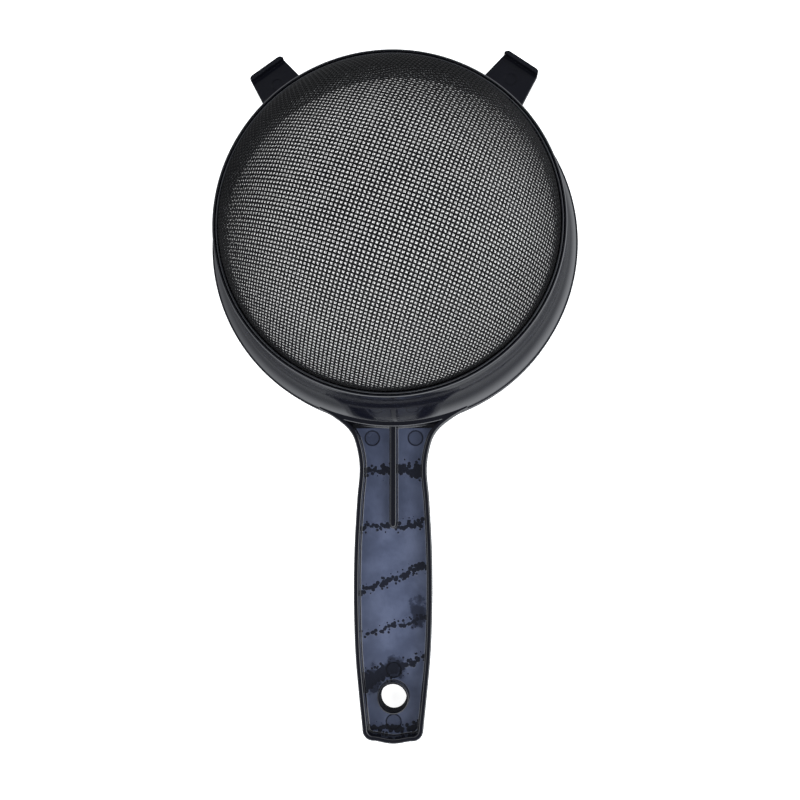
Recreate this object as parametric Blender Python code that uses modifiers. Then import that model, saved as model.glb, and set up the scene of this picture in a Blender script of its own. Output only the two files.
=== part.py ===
"""Double sieve strainer: a one-piece moulded rim, collar, handle and hooks, with two nested mesh domes.

The strainer lies upside down on its rim: z = 0 is the rim's plane, the domes rise towards +Z,
the handle runs towards -Y and the two rest hooks point away from it. Metres, +Z up.
"""

import math

import bmesh
import bpy
from mathutils import Matrix, Vector

NAME = "double_sieve_strainer"
MM = 0.001
GAP = 0.3 * MM

# Rim and collar
RIM_RADIUS = 80.0 * MM
RIM_INNER_RADIUS = 77.6 * MM
RIM_HEIGHT = 8.0 * MM
COLLAR_HEIGHT = 42.0 * MM
COLLAR_TOP_RADIUS = 71.6 * MM
COLLAR_WALL = 2.0 * MM
FLARE_START = Vector((72.2, 33.0)) * MM
FLARE_ELBOW = Vector((73.4, 14.0)) * MM
FLARE_END = Vector((79.0, 8.7)) * MM
FLARE_STEPS = 7
EDGE_ROUND = 0.6 * MM
COLLAR_SEGMENTS = 72

# Seat for the mesh stack, inside the collar's near end
SEAT_RADIUS = 70.5 * MM
SEAT_HEIGHT = 37.0 * MM
LEDGE_INNER_RADIUS = 67.0 * MM
LEDGE_THICKNESS = 1.6 * MM

# Mesh domes and the rings that clamp them
MESH_SEGMENTS = 48
DOME_STEPS = 8
OUTER_MESH_RADIUS = 69.2 * MM
OUTER_MESH_THICKNESS = 0.6 * MM
INNER_MESH_RADIUS = 67.9 * MM
INNER_MESH_THICKNESS = 0.3 * MM
CROWN_HEIGHT = 86.8 * MM
DOME_SPREAD = 1.16
DOME_DEPTH = 71.5 * MM
DOME_ACROSS_POWER = 2.39
DOME_FALL_POWER = 1.31
MESH_SPACING = 1.2 * MM
SPACER_INNER_RADIUS = 68.3 * MM
SPACER_HEIGHT = 1.0 * MM
RETAINER_INNER_RADIUS = 69.5 * MM
RETAINER_TOP = 41.6 * MM
RING_OUTER_RADIUS = SEAT_RADIUS - GAP

# Handle: distances are from the bowl's axis, towards the handle's end
HANDLE_END = 211.6 * MM
HANDLE_HEIGHT = 9.0 * MM
HANDLE_FLOOR = 2.6 * MM
HANDLE_WALL = 2.0 * MM
HANDLE_END_ROUND = 4.5 * MM
HANDLE_STATIONS = (
    (76.2, 26.2), (81.5, 19.5), (87.0, 16.3), (98.0, 14.3), (112.0, 15.3), (134.0, 16.4),
    (156.0, 16.5), (177.0, 15.7), (194.0, 14.1), (206.0, 12.8), (211.6, 12.2),
)
STATION_STEPS = 4
CHANNEL_START_RADIUS = 80.8 * MM
RIB_WIDTH = 3.0 * MM
RIB_END = 124.0 * MM
RIB_TOP = 7.6 * MM
HOLE_CENTRE = 194.4 * MM
HOLE_RADIUS = 5.4 * MM
BOSS_RADIUS = 6.6 * MM
BOSS_TOP = 7.6 * MM

# Rest hooks
HOOK_ANGLE = math.radians(35.5)
HOOK_REACH = 99.3 * MM
HOOK_ROOT = 78.8 * MM
HOOK_TIP_HALF_WIDTH = 8.5 * MM
HOOK_FLARE = 0.125
HOOK_CORNER_ROUND = 2.0 * MM
HOOK_BOTTOM = 4.6 * MM
HOOK_TOP = 7.2 * MM
HOOK_LIP_WIDTH = 1.8 * MM
HOOK_LIP_TOP = 10.0 * MM

CORNER_STEPS = 5
CUT_MARGIN = 5.0 * MM

# The origin is under the middle of the whole outline, so the bowl's axis stands off it
HOOK_TOP_EDGE = (
    HOOK_REACH * math.cos(HOOK_ANGLE)
    + (HOOK_TIP_HALF_WIDTH - HOOK_CORNER_ROUND) * math.sin(HOOK_ANGLE)
    + HOOK_CORNER_ROUND * (1.0 - math.cos(HOOK_ANGLE))
)
BOWL_Y = (HANDLE_END - HOOK_TOP_EDGE) / 2.0
BOWL_CENTRE = Vector((0.0, BOWL_Y, 0.0))

COLOURS = {
    "frame_moulding": ((0.012, 0.014, 0.028, 1.0), 0.22),
    "retaining_ring": ((0.014, 0.015, 0.022, 1.0), 0.3),
    "spacer_ring": ((0.014, 0.015, 0.022, 1.0), 0.35),
    "outer_mesh": ((0.02, 0.02, 0.022, 1.0), 0.45),
    "inner_mesh": ((0.62, 0.63, 0.64, 1.0), 0.5),
}


def clear_scene():
    for obj in list(bpy.data.objects):
        bpy.data.objects.remove(obj, do_unlink=True)


def new_collection(name):
    collection = bpy.data.collections.new(name)
    bpy.context.scene.collection.children.link(collection)
    return collection


def plastic(name):
    colour, roughness = COLOURS[name]
    material = bpy.data.materials.new(name)
    material.use_nodes = True
    shader = material.node_tree.nodes["Principled BSDF"]
    shader.inputs["Base Color"].default_value = colour
    shader.inputs["Roughness"].default_value = roughness
    shader.inputs["Metallic"].default_value = 0.0
    material.diffuse_color = colour
    return material


def add_object(name, mesh, collection, location=BOWL_CENTRE):
    obj = bpy.data.objects.new(name, mesh)
    obj.location = location
    collection.objects.link(obj)
    return obj


def turned(name, profile, segments, collection):
    """A closed (radius, height) profile turned about the bowl's axis; its outer side runs downwards."""
    mesh = bpy.data.meshes.new(name)
    points = [(radius, 0.0, height) for radius, height in profile]
    loop = [(i, (i + 1) % len(points)) for i in range(len(points))]
    edges = [(a, b) for a, b in loop if points[a][0] > GAP or points[b][0] > GAP]
    mesh.from_pydata(points, edges, [])
    obj = add_object(name, mesh, collection)
    screw = obj.modifiers.new("turn", "SCREW")
    screw.steps = segments
    screw.render_steps = segments
    screw.use_merge_vertices = True
    screw.merge_threshold = 0.01 * MM
    screw.use_smooth_shade = True
    return obj


def extruded(name, outline, bottom, top, collection, location=BOWL_CENTRE):
    """A flat outline, as (x, y) points, raised into a solid between two heights."""
    curve = bpy.data.curves.new(name, "CURVE")
    curve.dimensions = "2D"
    curve.fill_mode = "BOTH"
    curve.extrude = (top - bottom) / 2.0
    spline = curve.splines.new("POLY")
    spline.points.add(len(outline) - 1)
    for point, (x, y) in zip(spline.points, outline):
        point.co = (x, y, 0.0, 1.0)
    spline.use_cyclic_u = True
    middle = location + Vector((0.0, 0.0, (bottom + top) / 2.0))
    guide = add_object(name + "_outline", curve, collection, middle)
    return solid_from(guide, name, collection)


def solid_from(guide, name, collection):
    """A closed mesh object in place of a curve object."""
    bpy.context.view_layer.update()
    evaluated = guide.evaluated_get(bpy.context.evaluated_depsgraph_get())
    mesh = bpy.data.meshes.new_from_object(evaluated)
    mesh.name = name
    welded = bmesh.new()
    welded.from_mesh(mesh)
    bmesh.ops.remove_doubles(welded, verts=welded.verts, dist=0.001 * MM)
    bmesh.ops.recalc_face_normals(welded, faces=welded.faces)
    welded.to_mesh(mesh)
    welded.free()
    obj = bpy.data.objects.new(name, mesh)
    obj.matrix_world = guide.matrix_world
    collection.objects.link(obj)
    bpy.data.objects.remove(guide, do_unlink=True)
    return obj


def cylinder(name, radius, bottom, top, centre, segments, collection):
    mesh = bpy.data.meshes.new(name)
    build = bmesh.new()
    middle = Matrix.Translation((0.0, 0.0, (bottom + top) / 2.0))
    bmesh.ops.create_cone(
        build, cap_ends=True, segments=segments, radius1=radius, radius2=radius,
        depth=top - bottom, matrix=middle,
    )
    build.to_mesh(mesh)
    build.free()
    return add_object(name, mesh, collection, centre)


def as_tool(obj):
    obj.hide_render = True
    obj.display_type = "WIRE"
    return obj


def boolean(target, tool, operation):
    modifier = target.modifiers.new(tool.name, "BOOLEAN")
    modifier.operation = operation
    modifier.solver = "EXACT"
    modifier.object = as_tool(tool)


def quadratic(start, elbow, end, steps):
    """Points along a quadratic Bezier arc, both ends included."""
    points = []
    for i in range(steps + 1):
        t = i / steps
        points.append(start * (1 - t) ** 2 + elbow * (2 * t * (1 - t)) + end * t * t)
    return points


def offset_path(points, distance):
    """The same open path moved sideways, to the right of its direction of travel."""
    moved = []
    for i, point in enumerate(points):
        along = points[min(i + 1, len(points) - 1)] - points[max(i - 1, 0)]
        moved.append(point + Vector((along.y, -along.x)).normalized() * distance)
    return moved


def collar_profile():
    """Skirted rim, trumpet-shaped collar and, inside, the ledge that carries the meshes."""
    flare = quadratic(FLARE_START, FLARE_ELBOW, FLARE_END, FLARE_STEPS)
    inner_flare = offset_path(flare, COLLAR_WALL)
    inner_flare = [p for p in inner_flare if p.x < RIM_INNER_RADIUS - GAP]
    underside = inner_flare[-1].y
    outside = [
        Vector((SEAT_RADIUS, COLLAR_HEIGHT)),
        Vector((COLLAR_TOP_RADIUS - EDGE_ROUND, COLLAR_HEIGHT)),
        Vector((COLLAR_TOP_RADIUS, COLLAR_HEIGHT - EDGE_ROUND)),
    ]
    outside += flare
    outside += [
        Vector((FLARE_END.x, RIM_HEIGHT)),
        Vector((RIM_RADIUS - EDGE_ROUND / 2.0, RIM_HEIGHT)),
        Vector((RIM_RADIUS, RIM_HEIGHT - EDGE_ROUND / 2.0)),
        Vector((RIM_RADIUS, 0.0)),
    ]
    inside = [Vector((RIM_INNER_RADIUS, 0.0)), Vector((RIM_INNER_RADIUS, underside))]
    inside += reversed(inner_flare)
    inside += [
        Vector((SEAT_RADIUS, SEAT_HEIGHT - LEDGE_THICKNESS)),
        Vector((LEDGE_INNER_RADIUS, SEAT_HEIGHT - LEDGE_THICKNESS)),
        Vector((LEDGE_INNER_RADIUS, SEAT_HEIGHT)),
        Vector((SEAT_RADIUS, SEAT_HEIGHT)),
    ]
    return outside + inside


def hermite(stations, steps):
    """A smooth line through (distance, half width) stations, sampled evenly between each pair."""
    points = [Vector(s) * MM for s in stations]
    tangents = []
    for i in range(len(points)):
        before = points[max(i - 1, 0)]
        after = points[min(i + 1, len(points) - 1)]
        tangents.append((after.y - before.y) / (after.x - before.x))
    line = []
    for i in range(len(points) - 1):
        a, b = points[i], points[i + 1]
        span = b.x - a.x
        for k in range(steps):
            t = k / steps
            width = (
                a.y * (2 * t ** 3 - 3 * t ** 2 + 1)
                + tangents[i] * span * (t ** 3 - 2 * t ** 2 + t)
                + b.y * (3 * t ** 2 - 2 * t ** 3)
                + tangents[i + 1] * span * (t ** 3 - t ** 2)
            )
            line.append(Vector((a.x + span * t, width)))
    return line


def rounded_end(half_width, end, radius):
    """A quarter of a circle from the side, half_width out, to the flat end."""
    corner = Vector((end - radius, half_width - radius))
    arc = []
    for k in range(CORNER_STEPS + 1):
        turn = math.pi / 2.0 * k / CORNER_STEPS
        arc.append(corner + Vector((math.sin(turn), math.cos(turn))) * radius)
    return arc


def handle_side(inset):
    """One side of the handle's outline, from the root to the end, moved inwards by inset."""
    end = HANDLE_END - inset
    radius = HANDLE_END_ROUND - inset * 0.6
    side = offset_path(hermite(HANDLE_STATIONS, STATION_STEPS), inset)
    side = [p for p in side if p.x < end - radius]
    last = side[-1]
    return side + rounded_end(last.y, end, radius)


def handle_outline(inset):
    """The whole outline as (x, y) about the bowl's axis, with the handle towards -Y."""
    side = handle_side(inset)
    right = [(p.y, -p.x) for p in side]
    left = [(-p.y, -p.x) for p in reversed(side)]
    return right + left


def hook_outline():
    """A hook's plan about the bowl's axis, pointing along +Y, from inside the rim out to its tip."""
    root_half = HOOK_TIP_HALF_WIDTH + (HOOK_REACH - HOOK_ROOT) * HOOK_FLARE
    corner = Vector((HOOK_TIP_HALF_WIDTH - HOOK_CORNER_ROUND, HOOK_REACH - HOOK_CORNER_ROUND))
    right = [Vector((root_half, HOOK_ROOT))]
    for k in range(CORNER_STEPS + 1):
        turn = math.pi / 2.0 * k / CORNER_STEPS
        right.append(corner + Vector((math.cos(turn), math.sin(turn))) * HOOK_CORNER_ROUND)
    left = [Vector((-p.x, p.y)) for p in reversed(right)]
    return [(p.x, p.y) for p in right + left]


def make_hook(name, angle, tools):
    """A flat tapered tab with a lip along its outer edge, turned to one side of the bowl."""
    hook = extruded(name, hook_outline(), HOOK_BOTTOM, HOOK_LIP_TOP, tools)
    half = HOOK_TIP_HALF_WIDTH + CUT_MARGIN
    lip_root = HOOK_REACH - HOOK_LIP_WIDTH
    step = [(half, 0.0), (half, lip_root), (-half, lip_root), (-half, 0.0)]
    relief = extruded(name + "_relief", step, HOOK_TOP, HOOK_LIP_TOP + CUT_MARGIN, tools)
    boolean(hook, relief, "DIFFERENCE")
    for piece in (hook, relief):
        piece.rotation_euler = (0.0, 0.0, -angle)
    return hook


def make_frame_moulding(collection, tools):
    """Rim, collar, handle channel and hooks, moulded in one."""
    frame = turned("frame_moulding", collar_profile(), COLLAR_SEGMENTS, collection)

    handle = extruded("handle_block", handle_outline(0.0), 0.0, HANDLE_HEIGHT, tools)
    bowl_side = cylinder(
        "bowl_side", (RIM_INNER_RADIUS + RIM_RADIUS) / 2.0, -CUT_MARGIN, COLLAR_HEIGHT,
        BOWL_CENTRE, COLLAR_SEGMENTS, tools,
    )
    boolean(handle, bowl_side, "DIFFERENCE")

    channel = extruded(
        "channel", handle_outline(HANDLE_WALL), HANDLE_FLOOR, HANDLE_HEIGHT + CUT_MARGIN, tools,
    )
    channel_start = cylinder(
        "channel_start", CHANNEL_START_RADIUS, 0.0, COLLAR_HEIGHT, BOWL_CENTRE, COLLAR_SEGMENTS, tools,
    )
    boolean(channel, channel_start, "DIFFERENCE")
    boolean(handle, channel, "DIFFERENCE")

    rib_root = (RIM_INNER_RADIUS + RIM_RADIUS) / 2.0
    half = RIB_WIDTH / 2.0
    rib_outline = [(half, -rib_root), (-half, -rib_root)]
    for k in range(CORNER_STEPS * 2 + 1):
        turn = math.pi * k / (CORNER_STEPS * 2)
        rib_outline.append((-half * math.cos(turn), half - RIB_END - half * math.sin(turn)))
    rib = extruded("rib", rib_outline, HANDLE_FLOOR / 2.0, RIB_TOP, tools)
    boolean(handle, rib, "UNION")

    hole_centre = BOWL_CENTRE - Vector((0.0, HOLE_CENTRE, 0.0))
    boss = cylinder("boss", BOSS_RADIUS, HANDLE_FLOOR / 2.0, BOSS_TOP, hole_centre, 32, tools)
    boolean(handle, boss, "UNION")
    hole = cylinder("hole", HOLE_RADIUS, -CUT_MARGIN, HANDLE_HEIGHT, hole_centre, 32, tools)
    boolean(handle, hole, "DIFFERENCE")

    boolean(frame, handle, "UNION")
    for side, label in ((1.0, "right"), (-1.0, "left")):
        boolean(frame, make_hook("hook_" + label, side * HOOK_ANGLE, tools), "UNION")
    return frame


def dome_line(radius, crown):
    """From the crown, on the axis, down a round-topped cone to the edge, where the wall turns upright."""
    line = []
    for k in range(DOME_STEPS + 1):
        share = k / (DOME_STEPS * DOME_SPREAD)
        rise = (1.0 - share ** DOME_ACROSS_POWER) ** (1.0 / DOME_FALL_POWER)
        line.append(Vector((radius * k / DOME_STEPS, crown - DOME_DEPTH * (1.0 - rise))))
    return line


def make_mesh_dome(name, radius, thickness, crown, flange_bottom, collection):
    """A formed mesh as a closed shell: a dome with a flat flange round its edge."""
    outer = dome_line(radius, crown)
    inner = dome_line(radius - thickness, crown - thickness)
    flange_top = flange_bottom + thickness
    flange = [
        Vector((radius, flange_top)),
        Vector((RING_OUTER_RADIUS, flange_top)),
        Vector((RING_OUTER_RADIUS, flange_bottom)),
        Vector((radius - thickness, flange_bottom)),
    ]
    profile = outer + flange + list(reversed(inner))
    return turned(name, profile, MESH_SEGMENTS, collection)


def ring_profile(inner, outer, bottom, top):
    return [(inner, top), (outer, top), (outer, bottom), (inner, bottom)]


def make_mesh_stack(collection):
    """From the ledge outwards: fine mesh, spacer ring, coarse mesh, retaining ring."""
    inner_flange = SEAT_HEIGHT + GAP
    spacer_bottom = inner_flange + INNER_MESH_THICKNESS + GAP
    outer_flange = spacer_bottom + SPACER_HEIGHT + GAP
    retainer_bottom = outer_flange + OUTER_MESH_THICKNESS + GAP
    inner = make_mesh_dome(
        "inner_mesh", INNER_MESH_RADIUS, INNER_MESH_THICKNESS, CROWN_HEIGHT - MESH_SPACING,
        inner_flange, collection,
    )
    spacer_top = spacer_bottom + SPACER_HEIGHT
    spacer_section = ring_profile(SPACER_INNER_RADIUS, RING_OUTER_RADIUS, spacer_bottom, spacer_top)
    spacer = turned("spacer_ring", spacer_section, MESH_SEGMENTS, collection)
    outer = make_mesh_dome(
        "outer_mesh", OUTER_MESH_RADIUS, OUTER_MESH_THICKNESS, CROWN_HEIGHT, outer_flange, collection,
    )
    retainer_section = ring_profile(
        RETAINER_INNER_RADIUS, RING_OUTER_RADIUS, retainer_bottom, RETAINER_TOP,
    )
    retainer = turned("retaining_ring", retainer_section, MESH_SEGMENTS, collection)
    return [inner, spacer, outer, retainer]


def main():
    clear_scene()
    parts = new_collection(NAME)
    tools = new_collection("cutters")
    pieces = [make_frame_moulding(parts, tools)]
    pieces += make_mesh_stack(parts)
    for piece in pieces:
        piece.data.materials.append(plastic(piece.name))


main()
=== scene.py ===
"""Looks of the double sieve strainer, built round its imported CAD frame. Metres, +Z up.

The strainer lies upside down on its rim. The handle runs towards -Y from the bowl's axis, and the
two rest hooks point away from it. Distances named "out" are measured from the bowl's axis.
"""

import math

import bmesh
import bpy
import numpy as np
from mathutils import Matrix, Vector


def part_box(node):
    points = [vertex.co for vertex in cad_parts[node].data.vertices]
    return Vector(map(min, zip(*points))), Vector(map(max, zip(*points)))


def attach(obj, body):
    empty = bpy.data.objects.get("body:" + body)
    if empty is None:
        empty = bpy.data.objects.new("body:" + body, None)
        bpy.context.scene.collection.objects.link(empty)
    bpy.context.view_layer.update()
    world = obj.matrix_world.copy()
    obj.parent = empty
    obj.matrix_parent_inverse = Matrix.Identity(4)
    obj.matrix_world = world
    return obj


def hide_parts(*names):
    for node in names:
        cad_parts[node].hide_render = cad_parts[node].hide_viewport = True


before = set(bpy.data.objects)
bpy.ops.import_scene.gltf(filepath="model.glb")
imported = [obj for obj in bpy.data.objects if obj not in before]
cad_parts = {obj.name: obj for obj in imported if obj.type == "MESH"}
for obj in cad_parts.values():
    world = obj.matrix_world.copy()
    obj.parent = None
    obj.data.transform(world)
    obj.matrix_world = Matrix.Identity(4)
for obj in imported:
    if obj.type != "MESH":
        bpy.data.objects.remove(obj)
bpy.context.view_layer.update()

MM = 0.001
FRAME_LOW, FRAME_HIGH = (Vector(corner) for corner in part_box("frame_moulding"))
MESH_LOW, MESH_HIGH = (Vector(corner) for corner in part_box("outer_mesh"))
BOWL = Vector(((MESH_LOW.x + MESH_HIGH.x) / 2.0, (MESH_LOW.y + MESH_HIGH.y) / 2.0, 0.0))

# Rim and collar, as (radius, height) where both are given
RIM_RADIUS = (FRAME_HIGH.x - FRAME_LOW.x) / 2.0
RIM_INNER_RADIUS = 77.6 * MM
COLLAR_HEIGHT = FRAME_HIGH.z
COLLAR_TOP_RADIUS = 71.6 * MM
COLLAR_WALL = 2.0 * MM
FLARE_START = Vector((72.2, 33.0)) * MM
FLARE_ELBOW = Vector((73.4, 14.0)) * MM
FLARE_END = Vector((79.0, 8.7)) * MM
FLARE_STEPS = 28
# Groove under the collar's bead, from the bead's top edge, and step under the flare's end
COLLAR_GROOVE = ((0.0, -1.2), (-0.22, -1.7), (0.02, -2.3))
FLARE_LIP = 0.2 * MM
FLARE_LIP_CENTRE = FLARE_END + Vector((-0.12, -0.16)) * MM
FLARE_STEP = ((0.1, -0.6), (0.2, -0.7))
RIM_HEIGHT = 8.0 * MM
SEAT_RADIUS = 70.5 * MM
SEAT_HEIGHT = 37.0 * MM
LEDGE_INNER_RADIUS = 67.0 * MM
LEDGE_THICKNESS = 1.6 * MM
COLLAR_SEGMENTS = 256

# Handle: (out, half width) along one side
HANDLE_END = BOWL.y - FRAME_LOW.y
HANDLE_HEIGHT = 9.0 * MM
HANDLE_FLOOR = 2.6 * MM
HANDLE_WALL = 2.0 * MM
HANDLE_END_ROUND = 4.5 * MM
HANDLE_STATIONS = (
    (73.0, 32.0), (76.2, 26.2), (81.5, 19.5), (87.0, 16.3), (98.0, 14.3), (112.0, 15.3),
    (134.0, 16.4), (156.0, 16.5), (177.0, 15.7), (194.0, 14.1), (206.0, 12.8), (211.6, 12.2),
)
STATION_STEPS = 8
CORNER_STEPS = 10
BOW_STEPS = 8
CHANNEL_START_RADIUS = 80.8 * MM
GATE_BULGE = 1.1 * MM
RIB_BASE = 3.4 * MM
RIB_CREST = 2.6 * MM
RIB_END = 124.0 * MM
RIB_TOP = 7.6 * MM
RIB_END_STEPS = 12
HOLE_OUT = 194.4 * MM
HOLE_RADIUS = 5.3 * MM
HOLE_TOP_RADIUS = 5.75 * MM
BOSS_RADIUS = 6.6 * MM
BOSS_TOP = 7.6 * MM

# Rest hooks
HOOK_ANGLE = math.radians(35.5)
HOOK_REACH = 98.7 * MM
HOOK_ROOT = 78.8 * MM
HOOK_TIP_HALF_WIDTH = 8.9 * MM
HOOK_FLARE = 0.125
HOOK_CORNER_ROUND = 2.0 * MM
HOOK_BOTTOM = 4.6 * MM
HOOK_TOP = 7.2 * MM
HOOK_LIP_WIDTH = 1.8 * MM
HOOK_LIP_TOP = 10.0 * MM
HOOK_BEVEL = 0.35 * MM

# Ejector-pin marks: (across, out, radius)
PIN_MARKS = ((-9.4, 85.4, 3.2), (9.4, 85.4, 3.2), (0.0, 183.7, 3.2), (0.0, 205.1, 3.2))
HOOK_PIN_MARK = (89.3, 2.7)
PIN_MARK_DEPTH = 0.16 * MM

# Smooth bands across the channel's hazy floor, left as dark gaps in its painted sheen, in mm:
# (out on the middle line, lean, half width, widening to the right)
SHEEN_GAP_BANDS = (
    (99.6, 0.0, 2.7, 0.06), (123.0, -0.1, 1.6, 0.03), (145.2, -0.35, 1.8, 0.02),
    (165.4, -0.28, 1.4, 0.03), (183.8, -0.42, 2.7, -0.13), (207.5, 0.0, 2.0, 0.0),
)
MARK_WANDER = 8.0 * MM
DROPLET_SIZE = 5.0 * MM
# Smooth patches left as dark gaps in the floor's painted sheen: (across, out, half width, half length)
SHEEN_GAP_PATCHES = ((10.5, 160.0, 4.2, 6.5), (-9.0, 187.5, 4.0, 5.5), (0.0, 183.7, 4.6, 4.6))

# Clamp rings: the width of each, measured inwards from its outer edge
RING_WIDTHS = (("retaining_ring", 0.7 * MM), ("spacer_ring", 1.9 * MM))
RING_EDGE = 0.25 * MM

# Woven domes: a round-topped cone, blended into a short upright wall at its edge
DOME_SPREAD = 1.16
DOME_DEPTH = 71.5 * MM
DOME_ACROSS_POWER = 2.39
DOME_FALL_POWER = 1.31
DOME_BLEND = 0.02
COARSE_RADIUS = 68.9 * MM
COARSE_PITCH = (1.686 * MM, 1.562 * MM)
COARSE_WIRE = (0.37 * MM, 0.24 * MM)
COARSE_CRIMP = 0.18 * MM
COARSE_TURN = math.radians(-20.0)
COARSE_SIDES = 6
COARSE_TRIM = 0.3 * MM
COARSE_SELVEDGE = (0.4 * MM, 0.6 * MM)
FINE_RADIUS = 67.7 * MM
FINE_PITCH = (0.76 * MM, 0.74 * MM)
FINE_WIRE = (0.12 * MM, 0.06 * MM)
FINE_CRIMP = 0.06 * MM
FINE_TURN = math.radians(11.0)
FINE_SIDES = 4
FINE_TRIM = 0.15 * MM
FINE_SELVEDGE = (0.3 * MM, 0.3 * MM)
FINE_DROP = 1.25 * MM

# Colours: each material goes from the first to the second
# The second moulding colour is a painted sheen: the blue-grey of light reflected off the channel's hazy floor
MOULDING_AND_SHEEN_COLOURS = ((0.0024, 0.0026, 0.0046, 1.0), (0.042, 0.052, 0.09, 1.0))
# The bore's colours go with a material that reflects almost nothing: painted shade inside the hanging hole
BORE_SHADE_COLOURS = ((0.002, 0.0022, 0.004, 1.0), (0.004, 0.0045, 0.007, 1.0))
RING_COLOURS = ((0.006, 0.0065, 0.009, 1.0), (0.012, 0.013, 0.016, 1.0))
COARSE_COLOURS = ((0.001, 0.001, 0.0012, 1.0), (0.0025, 0.0025, 0.003, 1.0))
FINE_COLOURS = ((0.42, 0.43, 0.44, 1.0), (0.5, 0.5, 0.51, 1.0))
FLOOR_COLOURS = ((0.5, 0.5, 0.5, 1.0), (0.54, 0.54, 0.54, 1.0))
FLOOR_GLOW = 0.85

# Brightness round the strainer: below, near the horizon, in the ring of light, overhead, and the
# ring's share from back left to front right
SKY_BELOW = 0.12
SKY_LOW = 3.2
SKY_RING = 5.0
SKY_TOP = 0.17
SKY_SIDES = (0.4, 1.2)
SKY_TOWARDS = (0.616, -0.788)
FLOOR_DROP = 0.2 * MM

# Camera, as seen from the bowl's axis
CAMERA_PLACE = Vector((25.9, -109.2, 420.0)) * MM
CAMERA_TILT = (0.0963, 0.0556, 0.0)
CAMERA_LENS = 43.45


# ---------------------------------------------------------------- mesh helpers

def new_mesh(name, points, faces):
    mesh = bpy.data.meshes.new(name)
    mesh.from_pydata([tuple(p) for p in points], [], faces)
    mesh.update()
    return mesh


def add_object(name, mesh, at=BOWL):
    """A new object at the origin, with its place baked into its mesh."""
    mesh.transform(Matrix.Translation(at))
    obj = bpy.data.objects.new(name, mesh)
    bpy.context.scene.collection.objects.link(obj)
    return obj


def face_outwards(mesh):
    build = bmesh.new()
    build.from_mesh(mesh)
    bmesh.ops.recalc_face_normals(build, faces=build.faces)
    build.to_mesh(mesh)
    build.free()


def turned(name, profile, segments, at=BOWL):
    """A closed (radius, height) profile turned about an upright axis."""
    angles = [2.0 * math.pi * k / segments for k in range(segments)]
    points = [(r * math.cos(a), r * math.sin(a), z) for a in angles for r, z in profile]
    count = len(profile)
    faces = []
    for k in range(segments):
        here = k * count
        there = (k + 1) % segments * count
        for i in range(count):
            j = (i + 1) % count
            faces.append((here + i, here + j, there + j, there + i))
    mesh = new_mesh(name, points, faces)
    face_outwards(mesh)
    return add_object(name, mesh, at)


def stacked(name, rings, at=BOWL):
    """A solid through closed rings of equally many points, with flat ends."""
    count = len(rings[0])
    points = [p for ring in rings for p in ring]
    faces = [tuple(range(count)), tuple(range(len(points) - count, len(points)))]
    for level in range(len(rings) - 1):
        low = level * count
        high = low + count
        for i in range(count):
            j = (i + 1) % count
            faces.append((low + i, low + j, high + j, high + i))
    mesh = new_mesh(name, points, faces)
    face_outwards(mesh)
    return add_object(name, mesh, at)


def disc(name, levels, across, out, segments=72):
    """A round solid from (radius, height) levels, upright at a place on the moulding."""
    rings = []
    for radius, height in levels:
        angles = [2.0 * math.pi * k / segments for k in range(segments)]
        rings.append([(radius * math.cos(a), radius * math.sin(a), height) for a in angles])
    return stacked(name, rings, BOWL + Vector((across, -out, 0.0)))


def combine(target, other, operation):
    """Joins another solid to the target or cuts it away, then removes that other solid."""
    modifier = target.modifiers.new(other.name, "BOOLEAN")
    modifier.operation = operation
    modifier.solver = "EXACT"
    modifier.object = other
    apply_modifiers(target)
    bpy.data.objects.remove(other, do_unlink=True)


def apply_modifiers(obj):
    bpy.context.view_layer.update()
    evaluated = obj.evaluated_get(bpy.context.evaluated_depsgraph_get())
    mesh = bpy.data.meshes.new_from_object(evaluated)
    obj.modifiers.clear()
    obj.data = mesh


def smooth(obj, angle=math.radians(32.0)):
    """Smooth shading with creases kept, and wide flat faces left flat."""
    obj.data.shade_smooth()
    obj.data.set_sharp_from_angle(angle=angle)
    weighted = obj.modifiers.new("flat_faces", "WEIGHTED_NORMAL")
    weighted.keep_sharp = True


def arc(centre, radius, first, last, steps):
    """Points of a circle in a (radius, height) plane between two angles in degrees."""
    points = []
    for k in range(steps + 1):
        turn = math.radians(first + (last - first) * k / steps)
        points.append(Vector(centre) + Vector((math.cos(turn), math.sin(turn))) * radius)
    return points


def quadratic(start, elbow, end, steps):
    """Points along a quadratic Bezier arc, both ends included."""
    points = []
    for i in range(steps + 1):
        t = i / steps
        points.append(start * (1 - t) ** 2 + elbow * (2 * t * (1 - t)) + end * t * t)
    return points


def sideways(points, distance):
    """The same open path moved to the right of its direction of travel."""
    moved = []
    for i, point in enumerate(points):
        along = points[min(i + 1, len(points) - 1)] - points[max(i - 1, 0)]
        moved.append(point + Vector((along.y, -along.x)).normalized() * distance)
    return moved


# ---------------------------------------------------------------- frame moulding

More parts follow.
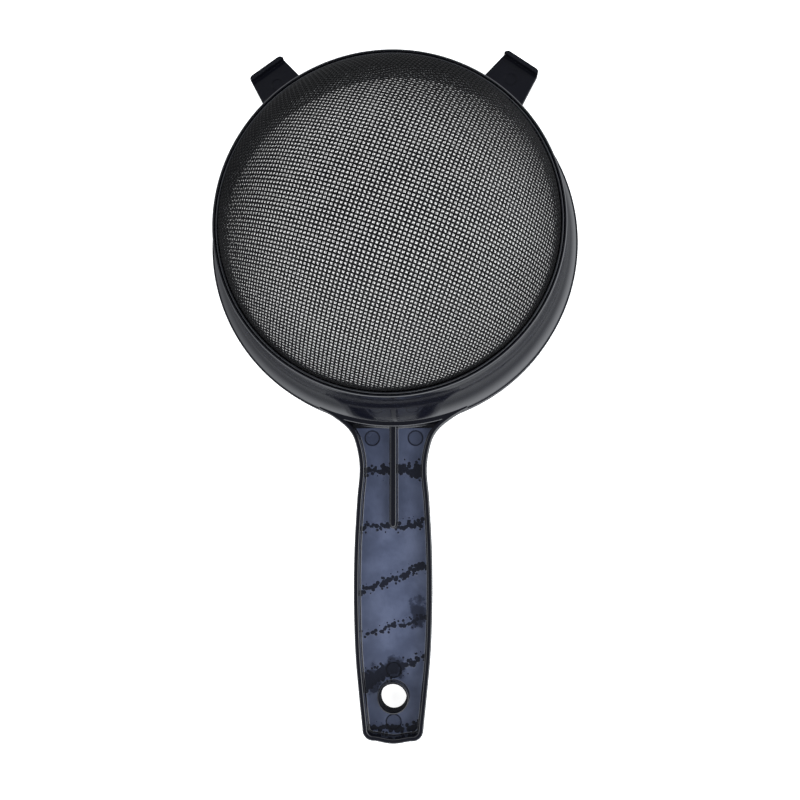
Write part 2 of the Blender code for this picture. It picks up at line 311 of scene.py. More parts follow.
def collar_profile():
    """Skirted rim, trumpet flare, steep collar with a beaded top and, inside, the mesh ledge."""
    chamfer = 0.3 * MM
    rim_edge = 0.4 * MM
    bead = (COLLAR_TOP_RADIUS - SEAT_RADIUS) / 2.0
    bead_centre = (SEAT_RADIUS + bead, COLLAR_HEIGHT - bead)
    top_edge = Vector((COLLAR_TOP_RADIUS, COLLAR_HEIGHT))
    flare = quadratic(FLARE_START, FLARE_ELBOW, FLARE_END, FLARE_STEPS)
    inner_flare = [p for p in sideways(flare, COLLAR_WALL) if p.x < RIM_INNER_RADIUS - chamfer]
    outside = arc(bead_centre, bead, 180.0, 0.0, 12)
    outside += [top_edge + Vector(move) * MM for move in COLLAR_GROOVE]
    outside += flare
    outside += arc(FLARE_LIP_CENTRE, FLARE_LIP, 40.0, 0.0, 3)
    outside += [FLARE_END + Vector(move) * MM for move in FLARE_STEP]
    outside += arc((RIM_RADIUS - chamfer, RIM_HEIGHT - chamfer), chamfer, 80.0, 0.0, 5)
    outside += arc((RIM_RADIUS - rim_edge, rim_edge), rim_edge, 0.0, -90.0, 4)
    inside = [
        Vector((RIM_INNER_RADIUS + chamfer, 0.0)),
        Vector((RIM_INNER_RADIUS, chamfer)),
        Vector((RIM_INNER_RADIUS, inner_flare[-1].y)),
    ]
    inside += reversed(inner_flare)
    inside += [
        Vector((SEAT_RADIUS, SEAT_HEIGHT - LEDGE_THICKNESS)),
        Vector((LEDGE_INNER_RADIUS, SEAT_HEIGHT - LEDGE_THICKNESS)),
        Vector((LEDGE_INNER_RADIUS, SEAT_HEIGHT)),
        Vector((SEAT_RADIUS, SEAT_HEIGHT)),
    ]
    return outside + inside


def hermite(stations, steps):
    """A smooth line through (out, half width) stations, sampled evenly between each pair."""
    points = [Vector(s) * MM for s in stations]
    last = len(points) - 1
    tangents = []
    for i in range(len(points)):
        span = points[min(i + 1, last)] - points[max(i - 1, 0)]
        tangents.append(span.y / span.x)
    line = []
    for i in range(last):
        a, b = points[i], points[i + 1]
        span = b.x - a.x
        for k in range(steps):
            t = k / steps
            width = (
                a.y * (2 * t ** 3 - 3 * t ** 2 + 1)
                + tangents[i] * span * (t ** 3 - 2 * t ** 2 + t)
                + b.y * (3 * t ** 2 - 2 * t ** 3)
                + tangents[i + 1] * span * (t ** 3 - t ** 2)
            )
            line.append(Vector((a.x + span * t, width)))
    return line


def handle_side(end):
    """One side of the handle's plan with its rounded corner, then half of the gently bowed end."""
    side = [p for p in hermite(HANDLE_STATIONS, STATION_STEPS) if p.x < end - HANDLE_END_ROUND]
    corner = (end - HANDLE_END_ROUND, side[-1].y - HANDLE_END_ROUND)
    side += arc(corner, HANDLE_END_ROUND, 90.0, 6.0, CORNER_STEPS)
    half = corner[1]
    for k in range(1, BOW_STEPS + 1):
        across = half * (1.0 - k / BOW_STEPS)
        bow = GATE_BULGE * (1.0 - (across / half) ** 2) ** 2
        side.append(Vector((end + bow, across)))
    return side


HANDLE_SIDE = handle_side(HANDLE_END)


def handle_ring(inset, height):
    """The whole plan moved inwards by inset, as a closed ring at one height."""
    side = sideways(HANDLE_SIDE, inset)
    right = [(p.y, -p.x, height) for p in side[:-1]]
    middle = [(0.0, -side[-1].x, height)]
    left = [(-p.y, -p.x, height) for p in reversed(side[:-1])]
    return right + middle + left


def make_handle_block():
    """The handle's outer skin, with rounded lower and upper edges."""
    under, crest = 0.9 * MM, 0.55 * MM
    lower = arc((under, under), under, -90.0, -180.0, 6)
    upper = arc((crest, HANDLE_HEIGHT - crest), crest, 180.0, 90.0, 5)
    rings = [handle_ring(inset, height) for inset, height in lower + upper]
    return stacked("handle_block", rings)


def make_channel():
    """The hollow of the handle as a cutter: rounded lip, drafted wall, filleted floor."""
    lip = 0.5 * MM
    lip_start = HANDLE_WALL - lip
    levels = [Vector((lip_start, HANDLE_HEIGHT + 3.0 * MM))]
    levels += arc((lip_start, HANDLE_HEIGHT - lip), lip, 90.0, 0.0, 5)
    fillet = 0.6 * MM
    fillet_centre = Vector((HANDLE_WALL + 0.2 * MM + fillet, HANDLE_FLOOR + fillet))
    levels += arc(fillet_centre, fillet, 180.0, 270.0, 5)
    rings = [handle_ring(inset, height) for inset, height in levels]
    channel = stacked("channel", rings)
    bend = 0.5 * MM
    inner, outer = CHANNEL_START_RADIUS - bend, CHANNEL_START_RADIUS + bend
    deep, above = 10.0 * MM, 20.0 * MM
    bulkhead = [Vector((deep, above)), Vector((inner, above))]
    bulkhead += arc((inner, HANDLE_HEIGHT - bend), bend, 90.0, 0.0, 5)
    bulkhead += arc((outer, HANDLE_FLOOR + bend), bend, 180.0, 270.0, 5)
    bulkhead += [Vector((outer, 0.0)), Vector((deep, 0.0))]
    combine(channel, turned("bulkhead", bulkhead, COLLAR_SEGMENTS), "DIFFERENCE")
    return channel


def rib_ring(half, height):
    """The rib's plan at one height, from inside the rim to its rounded far end."""
    root = (RIM_INNER_RADIUS + RIM_RADIUS) / 2.0
    end = RIB_END - RIB_BASE / 2.0
    ring = [(half, -root, height)]
    for k in range(RIB_END_STEPS + 1):
        turn = math.pi * k / RIB_END_STEPS
        ring.append((half * math.cos(turn), -end - half * math.sin(turn), height))
    ring.append((-half, -root, height))
    return ring


def make_rib():
    """The central web: a wider foot, drafted sides and a rounded crest."""
    base, crest = RIB_BASE / 2.0, RIB_CREST / 2.0
    edge = 0.5 * MM
    foot = 0.4 * MM
    levels = [Vector((base + foot, HANDLE_FLOOR / 2.0))]
    levels += arc((base + foot, HANDLE_FLOOR + foot), foot, 270.0, 180.0, 4)
    levels += arc((crest - edge, RIB_TOP - edge), edge, 0.0, 90.0, 4)
    return stacked("rib", [rib_ring(half, height) for half, height in levels])


def make_pin_mark(across, out, radius, surface):
    """A shallow round recess with a deeper ring at its edge, left by an ejector pin."""
    depth = PIN_MARK_DEPTH
    groove = 0.22 * MM
    levels = [
        (radius, surface + 1.0 * MM), (radius, surface), (radius - 0.08 * MM, surface - 2.0 * depth),
        (radius - groove, surface - 2.0 * depth), (radius - groove - 0.1 * MM, surface - depth),
    ]
    return disc("pin_mark", levels, across, out)


def hook_outline(height):
    """A hook's plan about the bowl's axis, pointing along +Y, from inside the rim to its tip."""
    root_half = HOOK_TIP_HALF_WIDTH + (HOOK_REACH - HOOK_ROOT) * HOOK_FLARE
    corner = (HOOK_TIP_HALF_WIDTH - HOOK_CORNER_ROUND, HOOK_REACH - HOOK_CORNER_ROUND)
    right = [Vector((root_half, HOOK_ROOT))] + arc(corner, HOOK_CORNER_ROUND, 0.0, 90.0, 8)
    left = [Vector((-p.x, p.y)) for p in reversed(right)]
    return [(p.x, p.y, height) for p in right + left]


def make_hook(angle):
    """A flat tapered tab with a lip along its outer edge and softened edges."""
    hook = stacked("hook", [hook_outline(HOOK_BOTTOM), hook_outline(HOOK_LIP_TOP)])
    half = HOOK_TIP_HALF_WIDTH + 5.0 * MM
    lip_root = HOOK_REACH - HOOK_LIP_WIDTH
    corners = ((half, 0.0), (half, lip_root), (-half, lip_root), (-half, 0.0))
    relief = stacked("relief", [
        [(x, y, HOOK_TOP) for x, y in corners],
        [(x, y, HOOK_LIP_TOP + 5.0 * MM) for x, y in corners],
    ])
    combine(hook, relief, "DIFFERENCE")
    bevel = hook.modifiers.new("edges", "BEVEL")
    bevel.width = HOOK_BEVEL
    bevel.segments = 3
    bevel.limit_method = "ANGLE"
    bevel.angle_limit = math.radians(40.0)
    apply_modifiers(hook)
    out, radius = (value * MM for value in HOOK_PIN_MARK)
    combine(hook, make_pin_mark(0.0, -out, radius, HOOK_TOP), "DIFFERENCE")
    hook.data.transform(
        Matrix.Translation(BOWL) @ Matrix.Rotation(-angle, 4, "Z") @ Matrix.Translation(-BOWL)
    )
    return hook


def make_boss():
    """The raised ring round the hanging hole, with a rounded crest and a filleted foot."""
    edge = 0.4 * MM
    foot = 0.35 * MM
    boss = [Vector((BOSS_RADIUS + foot, HANDLE_FLOOR / 2.0))]
    boss += arc((BOSS_RADIUS + foot, HANDLE_FLOOR + foot), foot, 270.0, 180.0, 4)
    boss += arc((BOSS_RADIUS - edge, BOSS_TOP - edge), edge, 0.0, 90.0, 5)
    return disc("boss", boss, 0.0, HOLE_OUT)


def make_hanging_hole():
    """The bore as a cutter: wider towards its top, with softened edges at both ends."""
    low_edge = 0.4 * MM
    widest = HOLE_TOP_RADIUS + 0.2 * MM
    levels = [
        (HOLE_RADIUS + low_edge, -1.0 * MM), (HOLE_RADIUS + low_edge, 0.0), (HOLE_RADIUS, low_edge),
        (HOLE_TOP_RADIUS, BOSS_TOP - 0.25 * MM), (widest, BOSS_TOP), (widest, BOSS_TOP + 2.0 * MM),
    ]
    return disc("hole", levels, 0.0, HOLE_OUT)


def make_handle():
    """The channelled handle from inside the rim to its end."""
    handle = make_handle_block()
    core_radius = RIM_INNER_RADIUS + 0.4 * MM
    core = [(core_radius, -5.0 * MM), (core_radius, 30.0 * MM)]
    combine(handle, disc("bowl_side", core, 0.0, 0.0, COLLAR_SEGMENTS), "DIFFERENCE")
    combine(handle, make_channel(), "DIFFERENCE")
    combine(handle, make_rib(), "UNION")
    combine(handle, make_boss(), "UNION")
    combine(handle, make_hanging_hole(), "DIFFERENCE")
    for mark in PIN_MARKS:
        across, out, radius = (value * MM for value in mark)
        combine(handle, make_pin_mark(across, out, radius, HANDLE_FLOOR), "DIFFERENCE")
    return handle


def make_frame_moulding():
    """Rim, collar, handle and rest hooks as the one moulding that they are."""
    moulding = turned("frame_moulding_surface", collar_profile(), COLLAR_SEGMENTS)
    combine(moulding, make_handle(), "UNION")
    for side in (1.0, -1.0):
        combine(moulding, make_hook(side * HOOK_ANGLE), "UNION")
    smooth(moulding)
    return moulding


# ---------------------------------------------------------------- woven domes

class Dome:
    """The surface that a gauze dome's wires cross on."""

    def __init__(self, radius, crown, trim):
        self.radius = radius
        self.crown = crown
        self.trim = trim

    def measure(self, p):
        """Level, zero on the surface and negative inside, and its slope, which points outwards."""
        out = np.hypot(p[..., 0], p[..., 1]) + 1e-12
        across = out / (self.radius * DOME_SPREAD)
        up = np.clip(1.0 - (self.crown - p[..., 2]) / DOME_DEPTH, 1e-6, None)
        cone = across ** DOME_ACROSS_POWER + up ** DOME_FALL_POWER - 1.0
        wall = out / self.radius - 1.0
        apart = np.hypot(cone - wall, DOME_BLEND)
        share = 0.5 + 0.5 * (cone - wall) / apart
        widen = DOME_ACROSS_POWER * across ** (DOME_ACROSS_POWER - 1.0) / (self.radius * DOME_SPREAD)
        pull = share * widen + (1.0 - share) / self.radius
        rise = share * DOME_FALL_POWER * up ** (DOME_FALL_POWER - 1.0) / DOME_DEPTH
        slope = np.stack([pull * p[..., 0] / out, pull * p[..., 1] / out, rise], -1)
        return (cone + wall + apart) / 2.0, slope

    def normal(self, p):
        slope = self.measure(p)[1]
        return slope / np.linalg.norm(slope, axis=-1, keepdims=True)

    def reach(self, pitch):
        """How many crossings lie between the crown and the trimmed edge, and a few more."""
        return int(1.6 * self.radius / pitch) + 2


def newton(start, equations, steps=9):
    """Solves three equations per point; equations(x) gives values and their Jacobian."""
    x = start
    for _ in range(steps):
        value, jacobian = equations(x)
        lost = ~np.isfinite(jacobian).all((-1, -2))
        lost |= np.abs(np.linalg.det(np.where(np.isfinite(jacobian), jacobian, 0.0))) < 1e-9
        safe = np.where(lost[..., None, None], np.eye(3), jacobian)
        step = np.linalg.solve(safe, value[..., None])[..., 0]
        x = np.where(lost[..., None], np.nan, x - step)
    return x


def meridian(dome, turn, pitch, count):
    """Points a pitch apart down the dome from its crown, in one direction."""
    along = np.array([math.cos(turn), math.sin(turn), 0.0])
    aside = np.array([-along[1], along[0], 0.0])
    points = [np.array([0.0, 0.0, dome.crown])]
    step = along * pitch
    for _ in range(count):
        last = points[-1]

        def equations(x, last=last):
            away = x - last
            level, slope = dome.measure(x)
            value = np.array([[away[0] @ away[0] - pitch ** 2, level[0] * pitch, x[0] @ aside]])
            jacobian = np.array([[2.0 * away[0], slope[0] * pitch, aside]])
            return value / pitch, jacobian / pitch

        points.append(newton((last + step)[None], equations)[0])
        step = points[-1] - last
    return np.array(points)


def fishnet(dome, turn, pitches, counts):
    """Crossings of a flat gauze drawn over the dome: every side of every mesh keeps its length."""
    first, second = counts
    net = np.full((2 * first + 1, 2 * second + 1, 3), np.nan)
    for sign in (1, -1):
        shift = 0.0 if sign > 0 else math.pi
        down = meridian(dome, turn + shift, pitches[0], first)
        net[first + sign * np.arange(first + 1), second] = down
        down = meridian(dome, turn + math.pi / 2.0 + shift, pitches[1], second)
        net[first, second + sign * np.arange(second + 1)] = down
    for a in (1, -1):
        for b in (1, -1):
            for diagonal in range(2, first + second + 1):
                i = np.arange(max(1, diagonal - second), min(first, diagonal - 1) + 1)
                j = diagonal - i
                left = net[first + a * (i - 1), second + b * j]
                right = net[first + a * i, second + b * (j - 1)]
                corner = net[first + a * (i - 1), second + b * (j - 1)]

                def equations(x, left=left, right=right):
                    one, two = x - left, x - right
                    level, slope = dome.measure(x)
                    scale = pitches[0]
                    value = np.stack([
                        (one ** 2).sum(-1) - pitches[0] ** 2,
                        (two ** 2).sum(-1) - pitches[1] ** 2,
                        level * scale,
                    ], -1)
                    jacobian = np.stack([2.0 * one, 2.0 * two, slope * scale], -2)
                    return value / scale, jacobian / scale

                net[first + a * i, second + b * j] = newton(left + right - corner, equations, 8)
    return net


def wire_end(dome, last, beyond):
    """Where a wire that runs on from its last crossing meets the trimmed edge, if it does."""
    fall = last[2] - beyond[2]
    if not np.isfinite(fall) or fall < 0.1 * MM:
        return []
    share = (last[2] - dome.trim) / fall
    return [last + (beyond - last) * share] if share > 0.15 else []


def wire_path(dome, crossings, first_over, lift):
    """One wire's centre line: over and under at its crossings, on the dome between them."""
    alive = np.isfinite(crossings).all(-1)
    alive[alive] = crossings[alive][:, 2] > dome.trim
    middle = len(crossings) // 2
    if not alive[middle]:
        return None
    low = middle
    while low > 0 and alive[low - 1]:
        low -= 1
    high = middle
    while high < len(crossings) - 1 and alive[high + 1]:
        high += 1
    if high - low < 4:
        return None
    run = crossings[low:high + 1]
    points = np.empty((2 * len(run) - 1, 3))
    points[0::2] = run
    points[1::2] = (run[1:] + run[:-1]) / 2.0
    offset = np.zeros(len(points))
    offset[0::2] = np.where((np.arange(low, high + 1) + first_over) % 2 == 0, lift, -lift)
    before = wire_end(dome, run[0], crossings[low - 1]) if low > 0 else []
    after = wire_end(dome, run[-1], crossings[high + 1]) if high < len(crossings) - 1 else []
    points = np.array(before + list(points) + after)
    offset = np.array([0.0] * len(before) + list(offset) + [0.0] * len(after))
    normals = dome.normal(points)
    return points + normals * offset[:, None], normals


def tube(points, normals, half_width, half_thickness, sides):
    """A closed tube round a centre line, flattened towards the surface that it lies on."""
    along = np.gradient(points, axis=0)
    along /= np.linalg.norm(along, axis=1, keepdims=True)
    aside = np.cross(along, normals)
    aside /= np.linalg.norm(aside, axis=1, keepdims=True)
    above = np.cross(aside, along)
    angles = 2.0 * math.pi * (np.arange(sides) + 0.5) / sides
    rise = half_thickness * np.cos(angles)[None, :, None] * above[:, None]
    reach = half_width * np.sin(angles)[None, :, None] * aside[:, None]
    vertices = (points[:, None] + rise + reach).reshape(-1, 3)
    start = np.arange(len(points) - 1)[:, None] * sides
    here = np.arange(sides)[None]
    there = (here + 1) % sides
    quads = np.stack([start + here, start + there, start + sides + there, start + sides + here], -1)
    faces = quads.reshape(-1, 4).tolist()
    last = (len(points) - 1) * sides
    faces.append(list(range(sides))[::-1])
    faces.append(list(range(last, last + sides)))
    return vertices, faces


def woven(name, dome, lines, rows, starts_over, wire, crimp, sides):
    """The wires of some rows of one direction, as one object."""
    vertices, faces, total = [], [], 0
    for row in rows:
        path = wire_path(dome, lines[row], row + starts_over, crimp)
        if path is None:
            continue
        points, shape = tube(*path, *wire, sides)
        vertices.append(points)
        faces += [[v + total for v in face] for face in shape]
        total += len(points)
    mesh = new_mesh(name, np.concatenate(vertices), faces)
    mesh.shade_smooth()
    return add_object(name, mesh)


def make_woven_dome(name, dome, turn, pitches, wire, crimp, sides):
    """Both directions of a gauze dome, each in two objects that meet at the crown."""
    counts = [dome.reach(pitch) for pitch in pitches]
    net = fishnet(dome, turn, pitches, counts)
    pieces = []
    for label, lines, starts_over in (("warp", net, 0), ("weft", net.swapaxes(0, 1), 1)):
        middle = len(lines) // 2
        for side, rows in (("a", range(middle, len(lines))), ("b", range(middle))):
            piece_name = f"{name}_{label}_{side}"
            pieces.append(woven(piece_name, dome, lines, rows, starts_over, wire, crimp, sides))
    return pieces


def make_selvedge(name, inner, outer, bottom, top):
    """The heat-flattened edge of a gauze dome, clamped in the collar."""
    round_off = (top - bottom) / 2.0
    profile = arc((outer - round_off, bottom + round_off), round_off, 90.0, -90.0, 4)
    profile += arc((inner + round_off, bottom + round_off), round_off, 270.0, 90.0, 4)
    edge = turned(name, profile, 144)
    smooth(edge)
    return edge


def make_ring(name, inner, outer, bottom, top, edge):
    """A clamp ring with softened corners."""
    profile = arc((outer - edge, top - edge), edge, 90.0, 0.0, 4)
    profile += arc((outer - edge, bottom + edge), edge, 0.0, -90.0, 4)
    profile += arc((inner + edge, bottom + edge), edge, 270.0, 180.0, 4)
    profile += arc((inner + edge, top - edge), edge, 180.0, 90.0, 4)
    ring = turned(name, profile, 192)
    smooth(ring)
    return ring


# ---------------------------------------------------------------- materials

class Nodes:
    """A node tree, with short calls for the few nodes that materials and studio share."""

    def __init__(self, tree):
        self.tree = tree

    def link(self, value, socket):
        if isinstance(value, bpy.types.NodeSocket):
            self.tree.links.new(value, socket)
        else:
            socket.default_value = value

    def math(self, operation, a, b=0.0, c=0.0):
        node = self.tree.nodes.new("ShaderNodeMath")
        node.operation = operation
        for value, socket in zip((a, b, c), node.inputs):
            self.link(value, socket)
        return node.outputs[0]

    def parts(self, vector):
        """The three components of a vector."""
        node = self.tree.nodes.new("ShaderNodeSeparateXYZ")
        self.link(vector, node.inputs[0])
        return node.outputs

    def ramp(self, value, low, high, to_low=0.0, to_high=1.0):
        """A smooth step from to_low below low to to_high above high."""
        node = self.tree.nodes.new("ShaderNodeMapRange")
        node.interpolation_type = "SMOOTHSTEP"
        for socket, number in zip(("From Min", "From Max", "To Min", "To Max"), (low, high, to_low, to_high)):
            node.inputs[socket].default_value = number
        self.link(value, node.inputs["Value"])
        return node.outputs[0]


class Finish(Nodes):
    """A material, placed by the object's own coordinates."""

    def __init__(self, name):
        self.material = bpy.data.materials.new(name)
        self.material.use_nodes = True
        super().__init__(self.material.node_tree)
        self.shader = self.tree.nodes["Principled BSDF"]
        coordinates = self.tree.nodes.new("ShaderNodeTexCoord")
        self.place = coordinates.outputs["Object"]
        self.normal = coordinates.outputs["Normal"]

    def noise(self, scale, detail=2.0, roughness=0.5):
        """Noise from 0 to 1 with its middle near 0.5; scale is in features per metre."""
        node = self.tree.nodes.new("ShaderNodeTexNoise")
        self.link(self.place, node.inputs["Vector"])
        node.inputs["Scale"].default_value = scale
        node.inputs["Detail"].default_value = detail
        node.inputs["Roughness"].default_value = roughness
        return node.outputs["Fac"]

    def spots(self, scale):
        """Distance to the nearest of many scattered points, in cells."""
        node = self.tree.nodes.new("ShaderNodeTexVoronoi")
        self.link(self.place, node.inputs["Vector"])
        node.inputs["Scale"].default_value = scale
        return node.outputs["Distance"]

    def blend(self, factor, a, b):
        """Colour a where factor is 0 and colour b where it is 1."""
        node = self.tree.nodes.new("ShaderNodeMix")
        node.data_type = "RGBA"
        self.link(factor, node.inputs["Factor"])
        self.link(a, node.inputs[6])
        self.link(b, node.inputs[7])
        return node.outputs[2]

    def bump(self, height, distance, normal=None):
        node = self.tree.nodes.new("ShaderNodeBump")
        node.inputs["Strength"].default_value = 1.0
        node.inputs["Distance"].default_value = distance
        self.link(height, node.inputs["Height"])
        if normal is not None:
            self.link(normal, node.inputs["Normal"])
        return node.outputs[0]

    def set(self, **values):
        for name, value in values.items():
            self.link(value, self.shader.inputs[name.replace("_", " ")])


def length_of(m, a, b):
    """The length of a step with sides a and b."""
    return m.math("SQRT", m.math("ADD", m.math("MULTIPLY", a, a), m.math("MULTIPLY", b, b)))


def smooth_sheen_gaps(m, across, out):
    """From 0 to 1: smooth bands and patches that leave dark gaps in the floor's painted sheen, with droplets
    along their edges.
    """
    wander = m.math("MULTIPLY_ADD", m.noise(90.0, 3.0), MARK_WANDER, -MARK_WANDER / 2.0)
    droplets = m.math("MULTIPLY_ADD", m.spots(620.0), -DROPLET_SIZE, 2.3 * MM)
    ragged = m.math("MULTIPLY_ADD", m.noise(260.0, 4.0), 1.6, -0.8)
    place = m.math("ADD", out, wander)
    sheen_gap_mask = 0.0
    for at, lean, half, widening in SHEEN_GAP_BANDS:
        line = m.math("MULTIPLY_ADD", across, lean, at * MM)
        away = m.math("ABSOLUTE", m.math("SUBTRACT", place, line))
        width = m.math("MULTIPLY_ADD", across, widening, half * MM)
        inside = m.math("ADD", m.math("SUBTRACT", width, away), droplets)
        sheen_gap_mask = m.math("MAXIMUM", sheen_gap_mask, m.ramp(inside, -0.25 * MM, 0.3 * MM))
    for x, at, half, length in SHEEN_GAP_PATCHES:
        sideways_share = m.math("DIVIDE", m.math("SUBTRACT", across, x * MM), half * MM)
        outwards_share = m.math("DIVIDE", m.math("SUBTRACT", place, at * MM), length * MM)
        reach = length_of(m, sideways_share, outwards_share)
        sheen_gap_mask = m.math("MAXIMUM", sheen_gap_mask, m.ramp(m.math("ADD", reach, ragged), 0.7, 1.15, 0.8, 0.0))
    return sheen_gap_mask


def pin_mark_shade(m, across, out):
    """1 away from the ejector-pin marks, less on them and least along their edges: less painted sheen on the
    marks and painted shade in their edge grooves.
    """
    light = 1.0
    for x, at, radius in PIN_MARKS:
        aside = m.math("SUBTRACT", across, x * MM)
        along = m.math("SUBTRACT", out, at * MM)
        reach = length_of(m, aside, along)
        disc_light = m.ramp(reach, (radius - 0.1) * MM, (radius + 0.1) * MM, 0.72, 1.0)
        from_edge = m.math("ABSOLUTE", m.math("SUBTRACT", reach, radius * MM))
        edge_light = m.ramp(from_edge, 0.1 * MM, 0.45 * MM, 0.3, 1.0)
        light = m.math("MULTIPLY", light, m.math("MULTIPLY", disc_light, edge_light))
    return light


def frame_plastic():
    """Navy-black gloss moulding; the channel's floor is dulled by haze and coloured with a painted blue-grey
    sheen standing in for reflected light, broken by smooth bands left dark.
    """
    m = Finish("frame_plastic")
    across, along, height = m.parts(m.place)
    out = m.math("SUBTRACT", BOWL.y, along)
    low = m.ramp(height, HANDLE_FLOOR + 0.3 * MM, HANDLE_FLOOR + 0.7 * MM, 1.0, 0.0)
    upward = m.ramp(m.parts(m.normal)[2], 0.85, 0.98)
    start = m.ramp(out, CHANNEL_START_RADIUS + 0.1 * MM, CHANNEL_START_RADIUS + 0.5 * MM)
    floor = m.math("MULTIPLY", m.math("MULTIPLY", low, upward), start)
    sheen_gap_mask = smooth_sheen_gaps(m, across, out)
    # Haze on the channel's floor: rougher, and coloured with a painted blue-grey sheen that the smooth bands
    # and pin marks break
    haze_and_sheen = m.math("MULTIPLY", floor, m.math("MULTIPLY_ADD", sheen_gap_mask, -0.9, 1.0))
    haze_and_sheen = m.math("MULTIPLY", haze_and_sheen, pin_mark_shade(m, across, out))
    haze_and_sheen = m.math("MULTIPLY", haze_and_sheen, m.ramp(m.noise(110.0, 4.0, 0.6), 0.3, 0.7, 0.7, 1.0))
    gloss = m.ramp(m.noise(55.0, 3.0), 0.35, 0.7, 0.08, 0.14)
    waves = m.bump(m.noise(120.0, 3.0), 0.04 * MM)
    m.set(
        Base_Color=m.blend(haze_and_sheen, *MOULDING_AND_SHEEN_COLOURS),
        Roughness=m.math("MULTIPLY_ADD", haze_and_sheen, 0.3, gloss),
        Normal=m.bump(m.math("MULTIPLY", sheen_gap_mask, floor), 0.03 * MM, waves),
    )
    return m.material


def shaded_bore_plastic():
    """The same plastic inside the hanging hole, made matt and almost without reflection as painted shade in
    the bore.
    """
    m = Finish("shaded_bore_plastic")
    m.set(
        Base_Color=m.blend(m.noise(200.0), *BORE_SHADE_COLOURS),
        Roughness=m.ramp(m.noise(500.0, 3.0), 0.3, 0.7, 0.5, 0.65),
        Specular_IOR_Level=0.04,
    )
    return m.material


def ring_plastic():
    """Satin black plastic of the clamp rings."""
    m = Finish("ring_plastic")
    m.set(
        Base_Color=m.blend(m.noise(300.0), *RING_COLOURS),
        Roughness=m.ramp(m.noise(90.0, 3.0), 0.3, 0.7, 0.22, 0.36),
        Normal=m.bump(m.noise(700.0, 2.0), 0.02 * MM),
    )
    return m.material


def coarse_monofilament():
    """Black monofilament that takes almost no shine."""
    m = Finish("coarse_monofilament")
    m.set(
        Base_Color=m.blend(m.noise(600.0), *COARSE_COLOURS),
        Roughness=m.ramp(m.noise(350.0, 3.0), 0.3, 0.7, 0.3, 0.45),
        Specular_IOR_Level=0.06,
        Normal=m.bump(m.noise(2500.0, 2.0), 0.01 * MM),
    )
    return m.material


def fine_monofilament():
    """Pale monofilament of the inner gauze."""
    m = Finish("fine_monofilament")
    m.set(
        Base_Color=m.blend(m.noise(120.0, 3.0), *FINE_COLOURS),
        Roughness=m.ramp(m.noise(400.0), 0.3, 0.7, 0.35, 0.5),
    )
    return m.material


def floor_material():
    """Frosted white panel lit from below, which leaves no shadows round the strainer."""
    m = Finish("pale_floor")
    m.set(
        Base_Color=m.blend(m.noise(6.0, 4.0), *FLOOR_COLOURS),
        Roughness=m.ramp(m.noise(9.0), 0.3, 0.7, 0.75, 0.85),
        Emission_Color=(1.0, 1.0, 1.0, 1.0),
        Emission_Strength=FLOOR_GLOW,
    )
    return m.material


# ---------------------------------------------------------------- assembly

def declare(piece, node, material):
    """Gives a piece its material, hangs it under the root body and hides the frame part that it shows."""
    piece.data.materials.clear()
    piece.data.materials.append(material)
    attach(piece, "root")
    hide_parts(node)


def ring_span(node):
    """A round node's outer radius, lower height and upper height."""
    low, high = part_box(node)
    return (high[0] - low[0]) / 2.0, low[2], high[2]


def build_moulding():
    moulding = make_frame_moulding()
    declare(moulding, "frame_moulding", frame_plastic())
    moulding.data.materials.append(shaded_bore_plastic())
    hole_axis = BOWL - Vector((0.0, HOLE_OUT, 0.0))
    for face in moulding.data.polygons:
        away = face.center - hole_axis
        if away.xy.length < HOLE_TOP_RADIUS + 0.05 * MM and abs(face.normal.z) < 0.5:
            face.material_index = 1


def build_rings():
    plastic = ring_plastic()
    for node, width in RING_WIDTHS:
        outer, bottom, top = ring_span(node)
        piece = make_ring(node + "_surface", outer - width, outer, bottom, top, RING_EDGE)
        declare(piece, node, plastic)


def build_gauzes():
    outer, bottom, top = ring_span("outer_mesh")
    crown = top - COARSE_WIRE[1] - COARSE_CRIMP
    dome = Dome(COARSE_RADIUS, crown, bottom + COARSE_TRIM)
    pieces = make_woven_dome(
        "coarse", dome, COARSE_TURN, COARSE_PITCH, COARSE_WIRE, COARSE_CRIMP, COARSE_SIDES,
    )
    inside, thickness = COARSE_SELVEDGE
    pieces.append(
        make_selvedge("coarse_selvedge", COARSE_RADIUS - inside, outer, bottom, bottom + thickness)
    )
    coarse = coarse_monofilament()
    for piece in pieces:
        declare(piece, "outer_mesh", coarse)

    bottom = ring_span("inner_mesh")[1]
    dome = Dome(FINE_RADIUS, crown - FINE_DROP, bottom + FINE_TRIM)
    pieces = make_woven_dome("fine", dome, FINE_TURN, FINE_PITCH, FINE_WIRE, FINE_CRIMP, FINE_SIDES)
    inside, thickness = FINE_SELVEDGE
    pieces.append(
        make_selvedge("fine_selvedge", FINE_RADIUS - inside, outer, bottom, bottom + thickness)
    )
    fine = fine_monofilament()
    for piece in pieces:
        declare(piece, "inner_mesh", fine)


# ---------------------------------------------------------------- studio

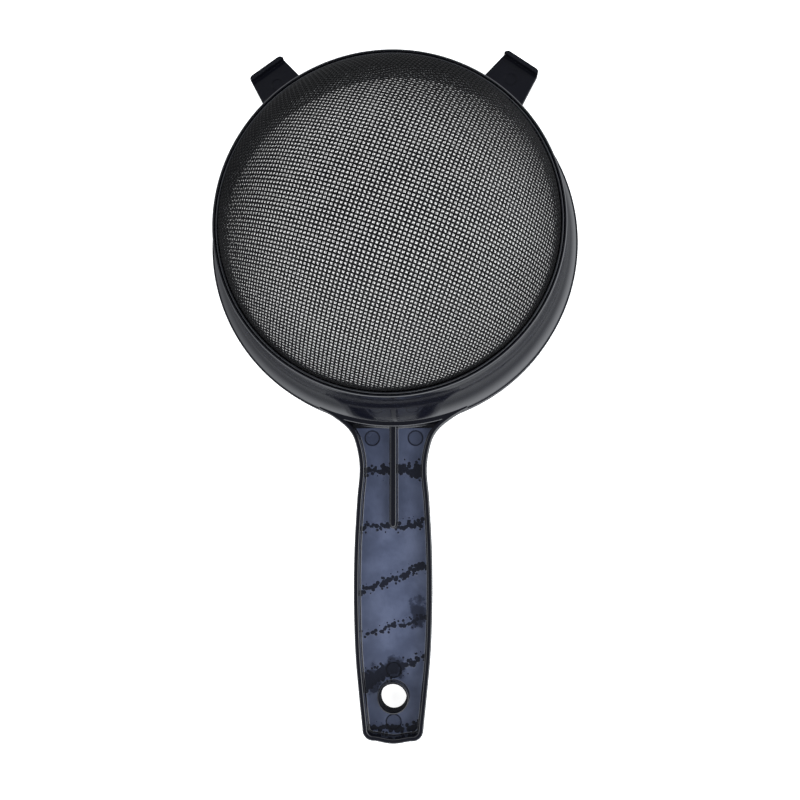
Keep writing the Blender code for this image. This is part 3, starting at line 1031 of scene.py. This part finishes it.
def build_surroundings():
    """A wide soft ring of light at mid height, strongest at the front right, under a dark ceiling."""
    world = bpy.data.worlds.new("studio_surroundings")
    bpy.context.scene.world = world
    world.use_nodes = True
    sky = Nodes(world.node_tree)
    x, y, z = sky.parts(sky.tree.nodes.new("ShaderNodeTexCoord").outputs["Generated"])
    lower = sky.ramp(z, -0.75, 0.1, SKY_BELOW, SKY_LOW)
    ring = sky.ramp(z, 0.1, 0.5, 0.0, SKY_RING - SKY_LOW)
    ring = sky.math("ADD", lower, ring)
    open_sky = sky.ramp(z, 0.76, 0.87, 1.0, 0.0)
    rightwards = sky.math("MULTIPLY", x, SKY_TOWARDS[0])
    towards = sky.math("ADD", rightwards, sky.math("MULTIPLY", y, SKY_TOWARDS[1]))
    facing = sky.ramp(towards, -0.75, 0.75, *SKY_SIDES)
    light = sky.math("MULTIPLY", sky.math("MULTIPLY", ring, open_sky), facing)
    background = sky.tree.nodes["Background"]
    sky.link(sky.math("ADD", light, SKY_TOP), background.inputs["Strength"])
    background.inputs["Color"].default_value = (0.94, 0.97, 1.0, 1.0)


def build_studio():
    """A wide floor just below the rim, and the light round it."""
    corners = [(x, y, 0.0) for x, y in ((-3.0, -3.0), (3.0, -3.0), (3.0, 3.0), (-3.0, 3.0))]
    mesh = new_mesh("floor", corners, [(0, 1, 2, 3)])
    floor = add_object("floor", mesh, Vector((0.0, 0.0, -FLOOR_DROP)))
    floor.data.materials.append(floor_material())
    floor.visible_glossy = False
    build_surroundings()
    bpy.context.scene.view_settings.view_transform = "Standard"


def build_camera():
    """Almost overhead, above the handle's root, turned a little to the left and towards the bowl."""
    camera = bpy.data.cameras.new("camera")
    camera.lens = CAMERA_LENS
    camera.sensor_width = 36.0
    camera.clip_start = 0.01
    obj = bpy.data.objects.new("camera", camera)
    obj.location = BOWL + CAMERA_PLACE
    obj.rotation_euler = CAMERA_TILT
    bpy.context.scene.collection.objects.link(obj)
    bpy.context.scene.camera = obj


build_moulding()
build_rings()
build_gauzes()
build_studio()
build_camera()
